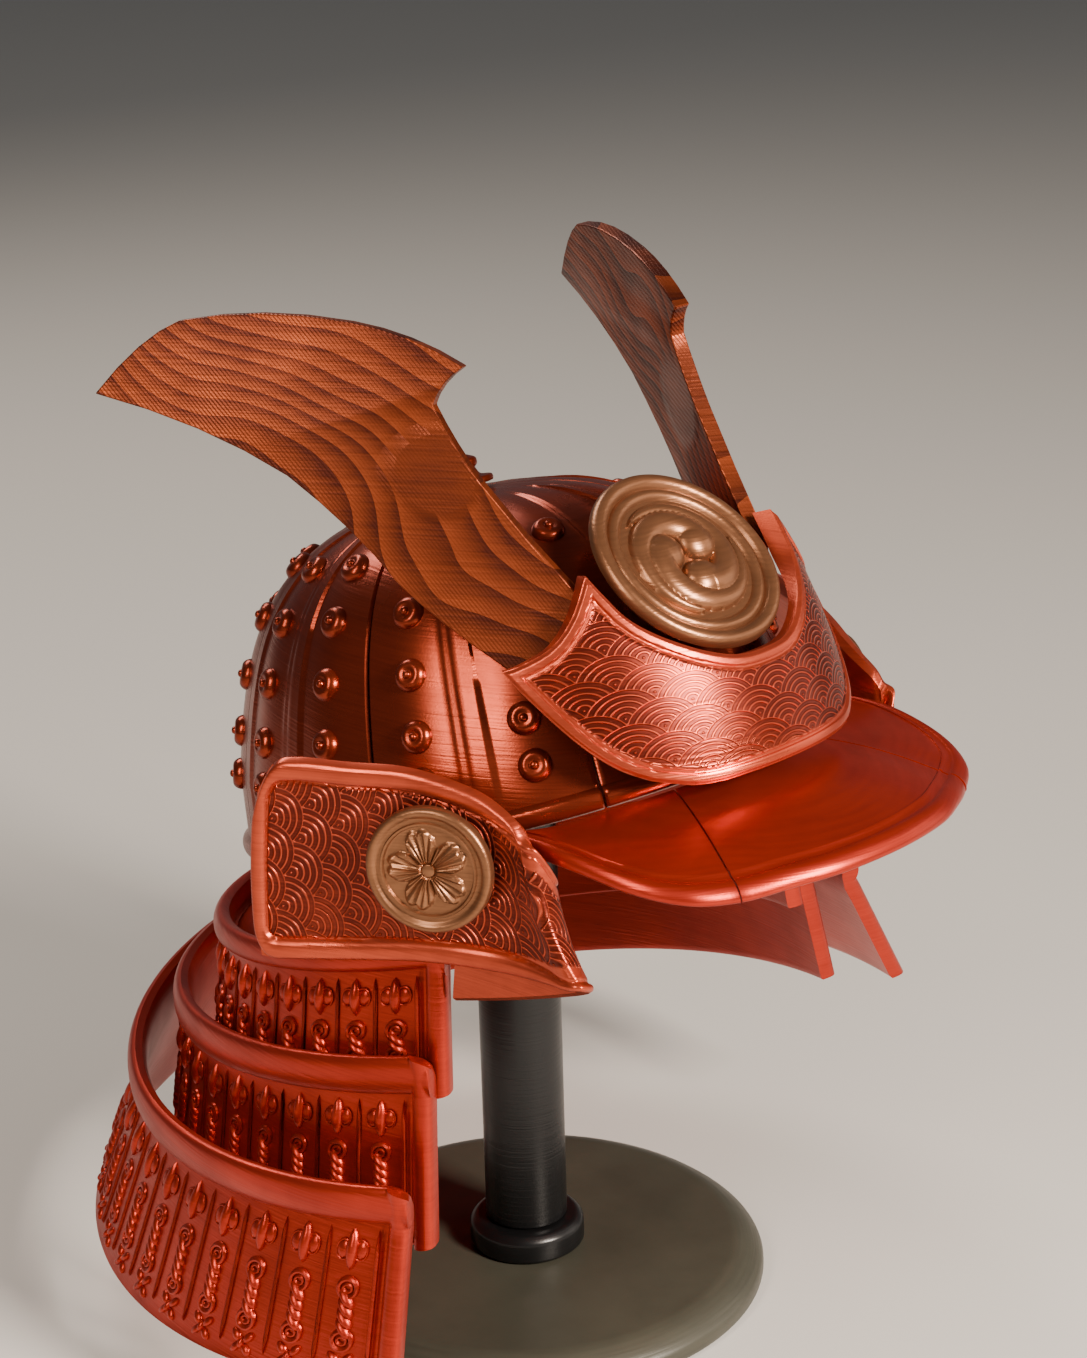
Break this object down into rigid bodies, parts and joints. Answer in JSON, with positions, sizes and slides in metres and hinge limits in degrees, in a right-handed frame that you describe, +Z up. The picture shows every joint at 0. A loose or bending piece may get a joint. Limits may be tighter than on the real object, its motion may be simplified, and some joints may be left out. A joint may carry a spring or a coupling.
{
  "type": "miniature kabuto samurai helmet on stand",
  "caption": "Miniature kabuto: riveted bowl, visor, horned crest with disc, turn-backs and a tiered neck guard, resting on a plain round pole stand for display.",
  "frame": {"origin": "centre of the underside of the stand base, on the surface it stands on", "axes": "+Z up, -Y the way the helmet faces, -X the wearer's right"},
  "size_m": [0.1767, 0.2007, 0.2129],
  "materials": {
    "bowl_plastic": "silky copper-brown printed plastic with fine layer lines",
    "red_plastic": "silky copper-red printed plastic with fine layer lines",
    "horn_plastic": "silky copper-brown printed plastic, flat plates with visible layer bands",
    "bronze_plastic": "silky bronze printed plastic",
    "base_plastic": "smoky grey-green printed plastic",
    "pole_plastic": "black satin printed plastic"
  },
  "bodies": {
    "root": {"bowl_front": "bowl_plastic", "bowl_temple_right": "bowl_plastic", "bowl_temple_left": "bowl_plastic", "bowl_side_right": "bowl_plastic", "bowl_side_left": "bowl_plastic", "bowl_back": "bowl_plastic", "crown_finial": "bowl_plastic", "visor_middle": "red_plastic", "visor_right": "red_plastic", "visor_left": "red_plastic", "horn_holder": "red_plastic", "horn_right": "horn_plastic", "horn_left": "horn_plastic", "front_disc": "bronze_plastic", "turnback_right": "red_plastic", "turnback_left": "red_plastic", "medallion_right": "bronze_plastic", "medallion_left": "bronze_plastic", "neck_flange": "red_plastic", "neck_tier_1": "red_plastic", "neck_tier_2": "red_plastic", "neck_tier_3": "red_plastic", "stand_base": "base_plastic", "stand_collar": "pole_plastic", "stand_pole": "pole_plastic", "stand_cap": "pole_plastic"}
  },
  "joints": []
}
